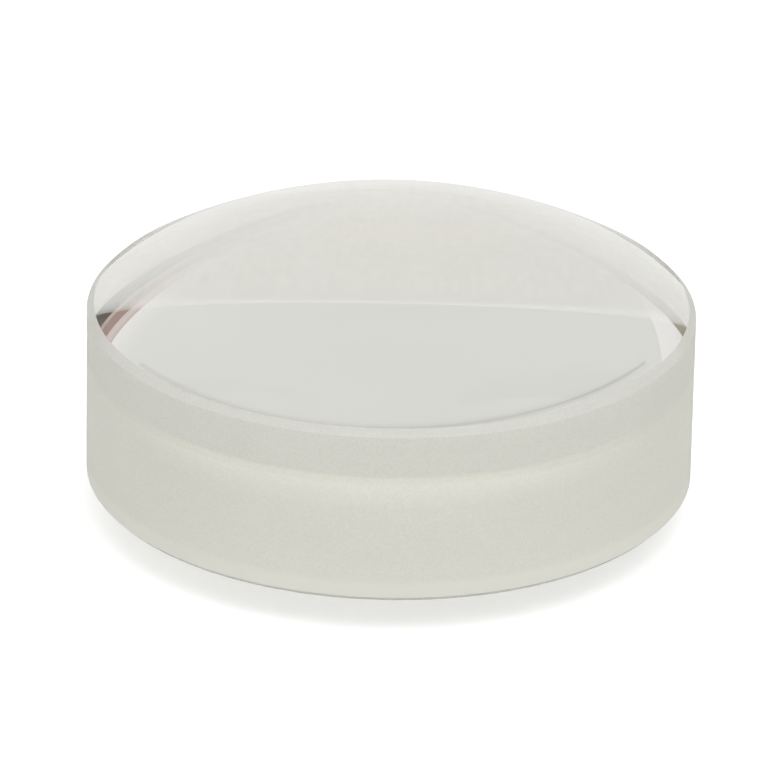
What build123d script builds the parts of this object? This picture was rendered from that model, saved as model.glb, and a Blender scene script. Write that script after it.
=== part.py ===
"""Cemented achromatic doublet lens, 25.4 mm across and of about 40 mm focal length.

A positive crown glass element and a negative flint glass element share one spherical
face, and a thin layer of optical cement joins them there. All sizes are in millimetres.

The optical axis is Z. The origin is the rear vertex, the middle of the flint's outer
face, and +Z runs through the flint and then the crown to the front vertex.
"""
from build123d import *
from math import sqrt
import os

# Edge
lens_diameter = 25.4
edge_radius = lens_diameter / 2

# Radii of the spherical faces, front to rear
front_radius = 23.7
cemented_radius = 20.1
rear_radius = 57.7

# Thicknesses: each element is set where it is thinnest, the crown at its edge and the
# flint and the cement on the axis
crown_edge_thickness = 1.79
flint_centre_thickness = 2.5
cement_thickness = 0.02

# Protective bevels, ground at 45 degrees. The crown's rim at the cement is blunt by
# itself, and the flint's rim there is a knife edge without its bevel
front_bevel = 0.3
rear_bevel = 0.2
flint_rim_bevel = 0.2


def sag(face_radius, height):
    """How far a spherical face falls from its vertex plane at a height off the axis."""
    return face_radius - sqrt(face_radius ** 2 - height ** 2)


def face_arc(vertex, face_radius, reach, turn):
    """Half section of a spherical face, from its vertex out to a height off the axis.

    The turn is 1 where the face rises towards the rim and -1 where it falls.
    """
    middle = reach / 2
    ThreePointArc(
        (0, vertex),
        (middle, vertex + turn * sag(face_radius, middle)),
        (reach, vertex + turn * sag(face_radius, reach)),
    )


# Places on the axis, rear to front. The crown's centre thickness follows from its edge
rear_vertex = 0
flint_front_vertex = rear_vertex + flint_centre_thickness
crown_rear_vertex = flint_front_vertex + cement_thickness
crown_centre_thickness = (
    crown_edge_thickness + sag(front_radius, edge_radius) + sag(cemented_radius, edge_radius)
)
front_vertex = crown_rear_vertex + crown_centre_thickness

# Where each ground bevel ends on its polished face
front_face_reach = edge_radius - front_bevel
rear_face_reach = edge_radius - rear_bevel
flint_front_reach = edge_radius - flint_rim_bevel

# Heights of those rims, and of the ends of the ground edge
front_rim = front_vertex - sag(front_radius, front_face_reach)
rear_rim = rear_vertex + sag(rear_radius, rear_face_reach)
flint_front_rim = flint_front_vertex + sag(cemented_radius, flint_front_reach)
crown_rear_rim = crown_rear_vertex + sag(cemented_radius, edge_radius)
crown_edge_top = front_rim - front_bevel
flint_edge_top = flint_front_rim - flint_rim_bevel
flint_edge_bottom = rear_rim + rear_bevel


with BuildPart() as crown_element:
    with BuildSketch(Plane.XZ):
        with BuildLine():
            face_arc(crown_rear_vertex, cemented_radius, edge_radius, 1)
            Polyline(
                (edge_radius, crown_rear_rim),
                (edge_radius, crown_edge_top),
                (front_face_reach, front_rim),
            )
            face_arc(front_vertex, front_radius, front_face_reach, -1)
            Line((0, front_vertex), (0, crown_rear_vertex))
        make_face()
    revolve(axis=Axis.Z)
crown_element.part.label = "crown_element"


with BuildPart() as flint_element:
    with BuildSketch(Plane.XZ):
        with BuildLine():
            face_arc(rear_vertex, rear_radius, rear_face_reach, 1)
            Polyline(
                (rear_face_reach, rear_rim),
                (edge_radius, flint_edge_bottom),
                (edge_radius, flint_edge_top),
                (flint_front_reach, flint_front_rim),
            )
            face_arc(flint_front_vertex, cemented_radius, flint_front_reach, 1)
            Line((0, flint_front_vertex), (0, rear_vertex))
        make_face()
    revolve(axis=Axis.Z)
flint_element.part.label = "flint_element"


with BuildPart() as cement_layer:
    with BuildSketch(Plane.XZ):
        with BuildLine():
            face_arc(flint_front_vertex, cemented_radius, flint_front_reach, 1)
            Line(
                (flint_front_reach, flint_front_rim),
                (flint_front_reach, flint_front_rim + cement_thickness),
            )
            face_arc(crown_rear_vertex, cemented_radius, flint_front_reach, 1)
            Line((0, crown_rear_vertex), (0, flint_front_vertex))
        make_face()
    revolve(axis=Axis.Z)
cement_layer.part.label = "cement_layer"


os.makedirs("parts", exist_ok=True)
export_step(crown_element.part, "parts/crown_element.step")
export_step(cement_layer.part, "parts/cement_layer.step")
export_step(flint_element.part, "parts/flint_element.step")
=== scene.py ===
"""Looks of a cemented achromatic doublet lens, lying on its rear face on a white table.

Lengths are in metres. The optical axis is Z, and the origin is the rear vertex, where the
lens touches the table. The flint element is below and the crown element above.
"""
import math

import bpy
import numpy as np
from mathutils import Matrix, Vector


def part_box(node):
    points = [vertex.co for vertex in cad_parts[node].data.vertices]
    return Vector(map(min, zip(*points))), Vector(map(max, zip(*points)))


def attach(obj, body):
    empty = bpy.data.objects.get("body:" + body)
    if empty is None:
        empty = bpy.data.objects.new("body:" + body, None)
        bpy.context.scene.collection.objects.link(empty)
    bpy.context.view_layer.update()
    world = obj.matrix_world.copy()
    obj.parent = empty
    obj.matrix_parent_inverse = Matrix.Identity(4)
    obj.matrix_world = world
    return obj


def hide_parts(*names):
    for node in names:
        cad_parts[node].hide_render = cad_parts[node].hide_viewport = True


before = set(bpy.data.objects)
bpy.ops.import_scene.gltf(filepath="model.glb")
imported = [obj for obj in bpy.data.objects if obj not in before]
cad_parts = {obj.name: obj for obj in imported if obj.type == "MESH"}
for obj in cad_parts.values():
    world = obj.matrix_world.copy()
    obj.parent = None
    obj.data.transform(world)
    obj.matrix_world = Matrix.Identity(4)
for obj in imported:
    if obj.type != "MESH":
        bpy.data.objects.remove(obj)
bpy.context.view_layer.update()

# The elements' boxes, from the frame
crown_low, crown_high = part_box("crown_element")
flint_low, flint_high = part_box("flint_element")
cement_low, cement_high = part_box("cement_layer")
edge_radius = crown_high.x
front_vertex = crown_high.z
crown_rear_vertex = crown_low.z
rear_vertex = flint_low.z
flint_front_reach = cement_high.x
flint_front_vertex = cement_low.z
flint_front_rim = flint_high.z

# Radii of the spherical faces and widths of the bevels
front_radius = 0.0237
cemented_radius = 0.0201
rear_radius = 0.0577
front_bevel = 0.0003
rear_bevel = 0.0002
flint_rim_bevel = edge_radius - flint_front_reach

# Refractive indices. The cement is matched to the crown glass, so light bends only where
# it meets the flint
crown_index = 1.517
flint_index = 1.673
cemented_index = flint_index / crown_index

# What each finish lets through, as a share of red, green and blue
crown_tint = (0.88, 0.87, 0.845)
crown_rim_tint = (0.86, 0.85, 0.825)
flint_tint = (0.96, 0.945, 0.92)
flint_rim_tint = (0.93, 0.915, 0.89)
cement_tint = (0.995, 0.995, 0.985)
crown_ground_tint = (0.85, 0.84, 0.78)
flint_ground_tint = (0.89, 0.879, 0.80)
front_bevel_tint = (0.745, 0.74, 0.695)
# The rear bevel's tint is lighter than the flint's ground edge. This is painted light, so the bevel
# that faces the shadowed table does not come out dark
rear_bevel_painted_light_tint = (0.93, 0.92, 0.85)
bead_tint = (0.87, 0.86, 0.78)
# The foot tint paints light into a band at the bottom of the flint's ground edge, lighter as if lit
# from the table below
painted_foot_light_tint = (0.95, 0.94, 0.86)

# The anti-reflection film, with its thickness in nanometres, and the cloud in it
film_thickness = 100
film_index = 1.38
film_cloud = 160
film_rim_part = 0.7

# The ground finish: the size of its grains, lines and patches, as noise scales, and how
# strongly each shows
grain_scale = 14000
line_scale = 60
line_flatness = 40
patch_scale = 400
grain_part = 0.8
line_part = 0.1
patch_part = 0.1
ground_contrast = 0.07
grain_strength = 0.04
grain_height = 0.00002
ground_roughness = 0.6
bevel_roughness = 0.5
patch_roughness = 0.08
clear_share = 0.5
rear_bevel_clear = 0.85
# The flint's edge is painted lighter in a band of this height at its foot, fading out above. This is
# painted light, as if from the table below
painted_foot_light_band = 0.0005
foot_band_fade = 0.0003

# The cement's streaks against the flint, its haze, and the bead in the groove
cement_streaks = 220
cement_haze = 300
bead_hollow = 0.000005
bead_rings = 8

# How brightly the studio's tent wall, seam, side strips and curtains glow. They are sheets that no
# lamp lights and only the glass sees: painted light in place of the lit studio
panel_colour = (0.79, 0.81, 0.795)
panel_edge_colour = (0.82, 0.838, 0.825)
strip_colour = (0.95, 0.935, 0.95)
front_wall_dim = (0.72, 0.72, 0.70)
front_wall_colour = (0.80, 0.80, 0.79)
seam_colour = (0.60, 0.615, 0.605)
seam_end_colour = (0.70, 0.71, 0.695)
seam_shade_colour = (0.735, 0.752, 0.74)
dark_colour = (0.02, 0.01, 0.005)
left_dark_colour = (0.34, 0.31, 0.25)

# Where they stand: the distance in metres, and bearings and elevations in degrees
tent_radius = 0.6
wall_left = -60
wall_bend = 12
wall_right = 40
wall_top = 60
strip_end = 47
front_top = 45
seam_left = -38.5
seam_right = 36.5
seam_height = 21.32
seam_slope = -0.023
seam_width = 0.45
curtain_hem = 5
curtain_head = 75
hem_lean = 1.0
head_lean = -6.0
left_curtain_hem = (-59, -54.5)
left_curtain_head = (-52, -47)
left_strip_foot = (-56, -36.5)
left_strip_head = (-56, -55)
left_strip_top = 40

# The folds of the right curtain: where each starts and ends, and its colour
folds = [
    (45.7, 46.5, (0.62, 0.50, 0.49)),
    (46.5, 48.4, (0.68, 0.60, 0.61)),
    (48.4, 51.3, (0.34, 0.22, 0.20)),
    (51.3, 52.6, (0.50, 0.42, 0.38)),
    (52.6, 58.5, dark_colour),
]

# The table's paper
table_dull = (0.70, 0.70, 0.69)
table_pale = (0.76, 0.76, 0.75)
table_fibres = 5000

# Its glow, as the camera sees it, and the share of the glow that a ray through the glass
# meets: under the lens, and far from it. The share falls between two squares of the
# distance from the axis, in edge radii, so the glass shows a painted pool of light on the
# table under the lens, dimmer farther out
table_glow = 0.42
through_share = 0.88
far_share = 0.35
painted_pool_within = 0.9
painted_pool_until = 1.6

# The light
room_light = 1.0
lamp_place = (0.15, -0.3, 0.75)
lamp_power = 1.55
lamp_width = 0.6

# How finely the surfaces are drawn, and how many times light may bounce
segments = 360
face_rings = 72
edge_rings = 6
wall_columns = 48
glass_bounces = 32

# The camera, placed as in the photograph: its distance is from the middle of the edge
picture_side = 780
camera_distance = 0.320
camera_elevation = math.radians(24.75)
camera_roll = math.radians(1.1)
focal_pixels = 7640
sensor_side = 0.036
target_height = 0.00500


def sag(face_radius, height):
    """How far a spherical face falls from its vertex plane at a height off the axis."""
    return face_radius - np.sqrt(face_radius ** 2 - height ** 2)


def face_outline(vertex, face_radius, reach, turn):
    """Points (r, z) of a spherical face, from its vertex out: z = vertex + turn * sag(r)."""
    heights = reach * np.linspace(0, 1, face_rings + 1)
    return np.stack([heights, vertex + turn * sag(face_radius, heights)], axis=1)


def straight_outline(start, end, rings=1):
    """Points (r, z) of a straight stretch of the outline, evenly spaced."""
    share = np.linspace(0, 1, rings + 1)[:, None]
    return (1 - share) * np.array(start) + share * np.array(end)


def turned(name, stretches):
    """A closed surface of revolution about the optical axis.

    The stretches are (points, material) pairs that follow one outline from its lower pole
    to its upper pole. A point (r, z) at turn a lies at (r cos a, r sin a, z), and the
    edges between two stretches are sharp.
    """
    outline = stretches[0][0]
    owner = [np.zeros(len(outline) - 1, int)]
    corners = []
    for index, (points, _) in enumerate(stretches[1:], 1):
        corners.append(len(outline) - 1)
        outline = np.concatenate([outline, points[1:]])
        owner.append(np.full(len(points) - 1, index))
    owner = np.concatenate(owner)

    turn = np.linspace(0, 2 * math.pi, segments, endpoint=False)
    radius, height = outline[1:-1, 0], outline[1:-1, 1]
    rings = len(radius)
    ring_points = np.stack(
        [
            np.outer(radius, np.cos(turn)),
            np.outer(radius, np.sin(turn)),
            np.repeat(height[:, None], segments, axis=1),
        ],
        axis=2,
    ).reshape(-1, 3)
    poles = [[0, 0, outline[0, 1]], [0, 0, outline[-1, 1]]]
    low_pole, high_pole = rings * segments, rings * segments + 1

    number = np.arange(rings * segments).reshape(rings, segments)
    following = np.roll(number, -1, axis=1)
    quads = np.stack([number[:-1], following[:-1], following[1:], number[1:]], axis=2)
    quads = quads.reshape(-1, 4)
    low_fan = np.stack([np.full(segments, low_pole), following[0], number[0]], axis=1)
    high_fan = np.stack([number[-1], following[-1], np.full(segments, high_pole)], axis=1)
    faces = low_fan.tolist() + quads.tolist() + high_fan.tolist()

    mesh = bpy.data.meshes.new(name)
    mesh.from_pydata(np.concatenate([ring_points, poles]).tolist(), [], faces)
    for _, material in stretches:
        mesh.materials.append(material)
    mesh.polygons.foreach_set("material_index", np.repeat(owner, segments).astype(np.int32))
    mesh.polygons.foreach_set("use_smooth", np.ones(len(faces), bool))
    mark_sharp(mesh, corners)
    mesh.update()
    piece = bpy.data.objects.new(name, mesh)
    bpy.context.scene.collection.objects.link(piece)
    return piece


def mark_sharp(mesh, corners):
    """Marks as sharp the edges that run round the rings numbered in corners."""
    ends = np.zeros(len(mesh.edges) * 2, np.int32)
    mesh.edges.foreach_get("vertices", ends)
    ring = 1 + ends.reshape(-1, 2) // segments
    along = (ring[:, 0] == ring[:, 1]) & np.isin(ring[:, 0], corners)
    marks = mesh.attributes.new("sharp_edge", "BOOLEAN", "EDGE")
    marks.data.foreach_set("value", along)


class Nodes:
    """A node tree, and the one method that adds nodes to it."""

    def __init__(self, tree):
        self.tree = tree
        tree.nodes.clear()

    def node(self, kind, settings=None, inputs=None):
        """Adds a node, with its settings first and then its sockets, by value or by link."""
        made = self.tree.nodes.new(kind)
        for key, value in (settings or {}).items():
            setattr(made, key, value)
        for key, value in (inputs or {}).items():
            source = value.socket if isinstance(value, Number) else value
            if isinstance(source, bpy.types.NodeSocket):
                self.tree.links.new(source, made.inputs[key])
            else:
                made.inputs[key].default_value = source
        return made

    def number(self, kind, output, settings=None, inputs=None):
        """Adds a node and wraps one of its outputs as a number."""
        return Number(self, self.node(kind, settings, inputs).outputs[output])

    def blend(self, share, first, second):
        """A colour between two others, by a number from 0 to 1."""
        # The sockets of a Mix node that take its two colours, and the one that gives the mix
        first_colour, second_colour, mixed = 6, 7, 2
        ends = [(*end, 1) if isinstance(end, tuple) else end for end in (first, second)]
        mix = self.node(
            "ShaderNodeMix",
            {"data_type": "RGBA"},
            {0: share, first_colour: ends[0], second_colour: ends[1]},
        )
        return mix.outputs[mixed]

    def noise(self, scale, detail=2, stretch=(1, 1, 1), contrast=2.5):
        """Soft noise on the object's own coordinates, about 0.5, within 0 and 1."""
        place = self.node("ShaderNodeTexCoord")
        spread = self.node(
            "ShaderNodeMapping",
            inputs={"Vector": place.outputs["Object"], "Scale": stretch},
        )
        raw = self.number(
            "ShaderNodeTexNoise",
            "Fac",
            inputs={"Vector": spread.outputs["Vector"], "Scale": scale, "Detail": detail},
        )
        return raw * contrast + (0.5 - 0.5 * contrast)

    def below(self, height, fade):
        """1 below a height, falling to 0 over a short fade above it."""
        place = self.node("ShaderNodeTexCoord")
        level = self.number(
            "ShaderNodeSeparateXYZ",
            "Z",
            inputs={"Vector": place.outputs["Object"]},
        )
        return self.ramp(level, (height, height + fade), (1, 0))

    def ramp(self, value, between, ends):
        """A number that runs from one end to the other while the value runs between two."""
        return self.number(
            "ShaderNodeMapRange",
            "Result",
            inputs={
                "Value": value,
                "From Min": between[0],
                "From Max": between[1],
                "To Min": ends[0],
                "To Max": ends[1],
            },
        )

    def off_axis(self, full):
        """The square of the distance from the optical axis, where full counts as 1."""
        place = self.node("ShaderNodeTexCoord")
        flat = self.node(
            "ShaderNodeVectorMath",
            {"operation": "MULTIPLY"},
            {0: place.outputs["Object"], 1: (1 / full, 1 / full, 0)},
        )
        reach = self.number(
            "ShaderNodeVectorMath",
            "Value",
            {"operation": "LENGTH"},
            {0: flat.outputs["Vector"]},
        )
        return reach * reach


class Number:
    """A shader number: each Python operator on it adds a Math node."""

    def __init__(self, nodes, socket):
        self.nodes = nodes
        self.socket = socket

    def maths(self, operation, first, second):
        node = self.nodes.node("ShaderNodeMath", {"operation": operation}, {0: first, 1: second})
        return Number(self.nodes, node.outputs[0])

    def __add__(self, other):
        return self.maths("ADD", self, other)

    __radd__ = __add__

    def __mul__(self, other):
        return self.maths("MULTIPLY", self, other)

    __rmul__ = __mul__

    def __sub__(self, other):
        return self.maths("SUBTRACT", self, other)

    def __rsub__(self, other):
        return self.maths("SUBTRACT", other, self)


def finish(name, build):
    """A material whose last shader comes from a function of its empty node tree."""
    material = bpy.data.materials.new(name)
    material.use_nodes = True
    nodes = Nodes(material.node_tree)
    nodes.node("ShaderNodeOutputMaterial", inputs={"Surface": build(nodes).outputs[0]})
    return material


def glass(nodes, index, colour, roughness, more=None):
    """Glass of a given index, with its colour and roughness by value or by link."""
    sockets = {
        "Base Color": colour,
        "Roughness": roughness,
        "IOR": index,
        "Transmission Weight": 1,
    }
    sockets.update(more or {})
    return nodes.node("ShaderNodeBsdfPrincipled", inputs=sockets)


def coated_face(name, index, tint, rim_tint):
    """Polished glass under a quarter-wave anti-reflection film.

    The film was laid from straight above the face, so it is a little thinner and warmer
    toward the rim, with a faint cloud in it.
    """
    film = {"Thin Film Thickness": film_thickness, "Thin Film IOR": film_index}

    def build(nodes):
        cloud = nodes.noise(film_cloud)
        share = nodes.off_axis(edge_radius) * film_rim_part + cloud * (1 - film_rim_part)
        return glass(nodes, index, nodes.blend(share, tint, rim_tint), 0, film)

    return finish(name, build)


def cemented_face(name, index):
    """A polished face against the cement: the index is relative to the cement's."""

    def build(nodes):
        colour = nodes.blend(nodes.noise(cement_streaks), (1, 1, 1), cement_tint)
        return glass(nodes, index, colour, 0)

    return finish(name, build)


def ground_face(name, index, tint, roughness, clear=clear_share, foot=None):
    """Fine-ground glass: frosted by grains of a few hundredths of a millimetre.

    The broken grains scatter a part of the light as a matt surface does. The wheel leaves
    faint lines round the edge, and the frosting is a little uneven.
    """
    pale = tuple(min(1, (1 + ground_contrast) * share) for share in tint)
    dull = tuple((1 - ground_contrast) * share for share in tint)

    def build(nodes):
        grain = nodes.noise(grain_scale)
        lines = nodes.noise(line_scale, detail=3, stretch=(1, 1, line_flatness))
        patches = nodes.noise(patch_scale)
        share = grain * grain_part + lines * line_part + patches * patch_part
        bump = nodes.node(
            "ShaderNodeBump",
            inputs={"Strength": grain_strength, "Distance": grain_height, "Height": grain},
        )
        rough = patches * patch_roughness + (roughness - patch_roughness / 2)
        colour = nodes.blend(share, dull, pale)
        # Below the given height the colour fades to the lighter foot tint. This is painted light from
        # below
        if foot:
            colour = nodes.blend(nodes.below(foot, foot_band_fade), colour, painted_foot_light_tint)
        more = {"Transmission Weight": clear, "Normal": bump.outputs["Normal"]}
        return glass(nodes, index, colour, rough, more)

    return finish(name, build)


def cement_clear(name):
    """Cement matched to the crown glass, so light passes it without bending."""

    def build(nodes):
        colour = nodes.blend(nodes.noise(cement_haze), (1, 1, 1), cement_tint)
        return glass(nodes, 1, colour, 0)

    return finish(name, build)


def make_crown():
    """The crown element: cemented face, ground edge, front bevel and coated front face."""
    crown_rear_rim = crown_rear_vertex + sag(cemented_radius, edge_radius)
    front_reach = edge_radius - front_bevel
    front_rim = front_vertex - sag(front_radius, front_reach)
    edge_foot = (edge_radius, crown_rear_rim)
    edge_head = (edge_radius, front_rim - front_bevel)
    inner = cemented_face("crown_cemented", 1)
    ground = ground_face("crown_ground", crown_index, crown_ground_tint, ground_roughness)
    bevel = ground_face("crown_bevel", crown_index, front_bevel_tint, bevel_roughness)
    front = coated_face("crown_coated", crown_index, crown_tint, crown_rim_tint)
    return turned(
        "crown_glass",
        [
            (face_outline(crown_rear_vertex, cemented_radius, edge_radius, 1), inner),
            (straight_outline(edge_foot, edge_head, edge_rings), ground),
            (straight_outline(edge_head, (front_reach, front_rim)), bevel),
            (face_outline(front_vertex, front_radius, front_reach, -1)[::-1], front),
        ],
    )


def make_flint():
    """The flint element: coated rear face, bevels, ground edge and cemented front face."""
    rear_reach = edge_radius - rear_bevel
    rear_rim = rear_vertex + sag(rear_radius, rear_reach)
    edge_foot = (edge_radius, rear_rim + rear_bevel)
    edge_head = (edge_radius, flint_front_rim - flint_rim_bevel)
    front_rim = (flint_front_reach, flint_front_rim)
    # Up to here the flint's edge is painted lighter, as if lit from the table below
    foot = edge_foot[1] + painted_foot_light_band
    rear = coated_face("flint_coated", flint_index, flint_tint, flint_rim_tint)
    ground = ground_face("flint_ground", flint_index, flint_ground_tint, ground_roughness, foot=foot)
    # The rear bevel's lighter tint is painted light against the shade under the lens
    bevel = ground_face("flint_bevel_painted_light", flint_index, rear_bevel_painted_light_tint, bevel_roughness, rear_bevel_clear)
    wetted = ground_face("flint_wetted_bevel", cemented_index, bead_tint, bevel_roughness, 1)
    inner = cemented_face("flint_cemented", cemented_index)
    return turned(
        "flint_glass",
        [
            (face_outline(rear_vertex, rear_radius, rear_reach, 1), rear),
            (straight_outline((rear_reach, rear_rim), edge_foot), bevel),
            (straight_outline(edge_foot, edge_head, edge_rings), ground),
            (straight_outline(edge_head, front_rim), wetted),
            (face_outline(flint_front_vertex, cemented_radius, flint_front_reach, 1)[::-1], inner),
        ],
    )


def make_cement():
    """The cement layer, a twelfth of its thickness clear of each element's face.

    It ends in a bead that fills the groove between the two edges. The bead is a little
    hollow: its outline at share s of the way up stands bead_hollow * 4 s (1 - s) inside the
    straight line.
    """
    clearance = (crown_rear_vertex - flint_front_vertex) / 12
    low = flint_front_vertex + clearance
    high = crown_rear_vertex - clearance
    lower = face_outline(low, cemented_radius, flint_front_reach, 1)
    wetted = straight_outline(lower[-1], lower[-1] + (flint_rim_bevel, -flint_rim_bevel))
    upper = face_outline(high, cemented_radius, edge_radius, 1)[::-1]
    bead = straight_outline(wetted[-1], upper[0], bead_rings)
    share = np.linspace(0, 1, len(bead))
    bead[:, 0] -= bead_hollow * 4 * share * (1 - share)
    clear = cement_clear("cement_clear")
    hardened = ground_face("cement_bead", crown_index, bead_tint, ground_roughness)
    return turned("cement", [(lower, clear), (wetted, clear), (bead, hardened), (upper, clear)])


def seen_share(nodes):
    """1 for the rays that look straight at the table, less for those that pass the glass.

    Through the glass the table's glow is painted brighter under the lens than farther out.
    This is a painted pool of light, standing in for the light the lens gathers there.
    """
    path = nodes.node("ShaderNodeLightPath")
    camera = Number(nodes, path.outputs["Is Camera Ray"])
    through = Number(nodes, path.outputs["Is Transmission Ray"])
    reach = nodes.off_axis(edge_radius)
    # A painted pool of light: rays through the glass see the glow stronger under the lens than farther
    # out
    painted_pool = nodes.ramp(reach, (painted_pool_within, painted_pool_until), (through_share, far_share))
    return camera + through * painted_pool


def make_table():
    """A white table top just under the lens, which keeps its shadow."""
    side = 4
    drop = 0.00001
    mesh = bpy.data.meshes.new("table")
    corners = [(-side, -side), (side, -side), (side, side), (-side, side)]
    mesh.from_pydata([(*corner, -drop) for corner in corners], [], [(0, 1, 2, 3)])

    def build(nodes):
        fibres = nodes.noise(table_fibres, detail=4)
        colour = nodes.blend(fibres, table_dull, table_pale)
        paper = nodes.node("ShaderNodeBsdfDiffuse", inputs={"Color": colour})
        strength = seen_share(nodes) * table_glow
        glow = nodes.node("ShaderNodeEmission", inputs={"Strength": strength})
        return nodes.node("ShaderNodeAddShader", inputs={0: paper.outputs[0], 1: glow.outputs[0]})

    mesh.materials.append(finish("table_white", build))
    table = bpy.data.objects.new("table", mesh)
    bpy.context.scene.collection.objects.link(table)


def glowing_studio_sheet(name, places, left_colour, right_colour):
    """A sheet of the studio that only the glass sees. It glows with its colour and no lamp lights it:
    painted light in place of the lit studio.

    Its points are a grid of places in space, rows by columns, and its colour runs evenly
    from its left side to its right.
    """
    rows, columns = places.shape[:2]
    number = np.arange(rows * columns).reshape(rows, columns)
    faces = np.stack(
        [number[:-1, :-1], number[:-1, 1:], number[1:, 1:], number[1:, :-1]],
        axis=2,
    )
    left, right = places[..., 0].min(), places[..., 0].max()
    mesh = bpy.data.meshes.new(name)
    mesh.from_pydata(places.reshape(-1, 3).tolist(), [], faces.reshape(-1, 4).tolist())

    def build(nodes):
        place = nodes.node("ShaderNodeTexCoord")
        across = nodes.number(
            "ShaderNodeSeparateXYZ",
            "X",
            inputs={"Vector": place.outputs["Object"]},
        )
        share = (across - left) * (1 / (right - left))
        colour = nodes.blend(share, left_colour, right_colour)
        return nodes.node("ShaderNodeEmission", inputs={"Color": colour})

    mesh.materials.append(finish(name, build))
    sheet = bpy.data.objects.new(name, mesh)
    sheet.visible_camera = False
    sheet.visible_diffuse = False
    sheet.visible_shadow = False
    bpy.context.scene.collection.objects.link(sheet)


def tent_wall(name, low, high, left_colour, right_colour=None, distance=tent_radius):
    """A strip of the round tent wall behind the lens, between its low and its high edge.

    Each edge runs between two (bearing, elevation) pairs in degrees, seen from the lens,
    with the bearing from straight behind it toward the right. A point at bearing b and
    elevation e lies at distance * (sin b, cos b, tan e).
    """
    edges = np.stack([straight_outline(*edge, wall_columns) for edge in (low, high)])
    bearing, elevation = np.radians(edges).transpose(2, 0, 1)
    places = distance * np.stack([np.sin(bearing), np.cos(bearing), np.tan(elevation)], axis=2)
    glowing_studio_sheet(name, places, left_colour, right_colour or left_colour)


def level(elevation, start, end):
    """A level edge of a tent wall."""
    return [(start, elevation), (end, elevation)]


def along_seam(start, end, above=0):
    """An edge of a tent wall that follows the seam, or runs that many degrees above it."""
    return [(bearing, seam_height + seam_slope * bearing + above) for bearing in (start, end)]


def make_studio():
    """The grey tent wall round the lens, its dark seam, and the dark curtains in its gaps.

    The faces bend them into the view: the wall fills the lower half of the dome, the seam
    runs just inside the front rim, and the curtains show at the far left and right. The
    front wall closes the tent on the camera's side.
    """
    # Each wall, seam, curtain and strip is a glowing sheet that only the glass sees: painted light in
    # place of the lit studio
    seam_distance = 0.99 * tent_radius
    shade_distance = 0.995 * tent_radius
    curtain_distance = 0.95 * tent_radius
    tent_wall(
        "wall_left",
        along_seam(wall_left, wall_bend),
        level(wall_top, wall_left, wall_bend),
        panel_colour,
    )
    tent_wall(
        "wall_right",
        along_seam(wall_bend, wall_right),
        level(wall_top, wall_bend, wall_right),
        panel_colour,
        panel_edge_colour,
    )
    tent_wall(
        "wall_foot",
        level(0, wall_left, wall_right),
        along_seam(wall_left, wall_right),
        panel_colour,
        panel_edge_colour,
    )
    tent_wall(
        "seam",
        along_seam(seam_left, seam_right, -seam_width),
        along_seam(seam_left, seam_right),
        seam_colour,
        seam_end_colour,
        seam_distance,
    )
    tent_wall(
        "seam_shade",
        along_seam(seam_left, seam_right, -2 * seam_width),
        along_seam(seam_left, seam_right, seam_width),
        seam_shade_colour,
        distance=shade_distance,
    )
    for number, (start, end, colour) in enumerate(folds):
        tent_wall(
            f"curtain_right_{number}",
            level(curtain_hem, start + hem_lean, end + hem_lean),
            level(curtain_head, start + head_lean, end + head_lean),
            colour,
            distance=curtain_distance,
        )
    tent_wall(
        "curtain_left",
        level(curtain_hem, *left_curtain_hem),
        level(curtain_head, *left_curtain_head),
        left_dark_colour,
        distance=curtain_distance,
    )
    tent_wall(
        "strip_right",
        level(0, wall_right, strip_end),
        level(wall_top, wall_right, strip_end),
        panel_edge_colour,
        strip_colour,
    )
    tent_wall(
        "strip_left",
        level(curtain_hem, *left_strip_foot),
        level(left_strip_top, *left_strip_head),
        strip_colour,
        distance=seam_distance,
    )
    tent_wall(
        "front_wall",
        level(0, strip_end, wall_left + 360),
        level(front_top, strip_end, wall_left + 360),
        front_wall_dim,
        front_wall_colour,
    )


def light_room():
    """An even white room with one large soft lamp above the lens."""
    world = bpy.data.worlds.new("room")
    bpy.context.scene.world = world
    world.use_nodes = True
    nodes = Nodes(world.node_tree)
    white = nodes.node("ShaderNodeBackground", inputs={"Color": (1, 1, 1, 1), "Strength": room_light})
    nodes.node("ShaderNodeOutputWorld", inputs={"Surface": white.outputs[0]})

    lamp = bpy.data.lights.new("softbox", "AREA")
    lamp.shape = "DISK"
    lamp.size = lamp_width
    lamp.energy = lamp_power
    holder = bpy.data.objects.new("softbox", lamp)
    holder.location = lamp_place
    holder.rotation_euler = (-holder.location).to_track_quat("-Z", "Y").to_euler()
    holder.visible_glossy = False
    bpy.context.scene.collection.objects.link(holder)


def place_camera():
    """The camera looks down along +Y at the middle of the edge, rolled a little."""
    camera = bpy.data.cameras.new("camera")
    camera.sensor_width = sensor_side * 1000
    camera.lens = focal_pixels / picture_side * sensor_side * 1000
    camera.clip_start = 0.01
    holder = bpy.data.objects.new("camera", camera)
    target = Vector((0, 0, target_height))
    back = Vector((0, -math.cos(camera_elevation), math.sin(camera_elevation)))
    aim = (-back).to_track_quat("-Z", "Y").to_matrix() @ Matrix.Rotation(camera_roll, 3, "Z")
    holder.matrix_world = Matrix.Translation(target + back * camera_distance) @ aim.to_4x4()
    bpy.context.scene.collection.objects.link(holder)
    bpy.context.scene.camera = holder


def dress(piece, node):
    """A piece stands for a CAD node, which is hidden, and rides with the lens."""
    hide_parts(node)
    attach(piece, "root")


def main():
    scene = bpy.context.scene
    scene.view_settings.view_transform = "Standard"
    scene.cycles.max_bounces = glass_bounces
    scene.cycles.transmission_bounces = glass_bounces
    scene.cycles.glossy_bounces = glass_bounces // 2
    dress(make_crown(), "crown_element")
    dress(make_flint(), "flint_element")
    dress(make_cement(), "cement_layer")
    make_table()
    make_studio()
    light_room()
    place_camera()


main()
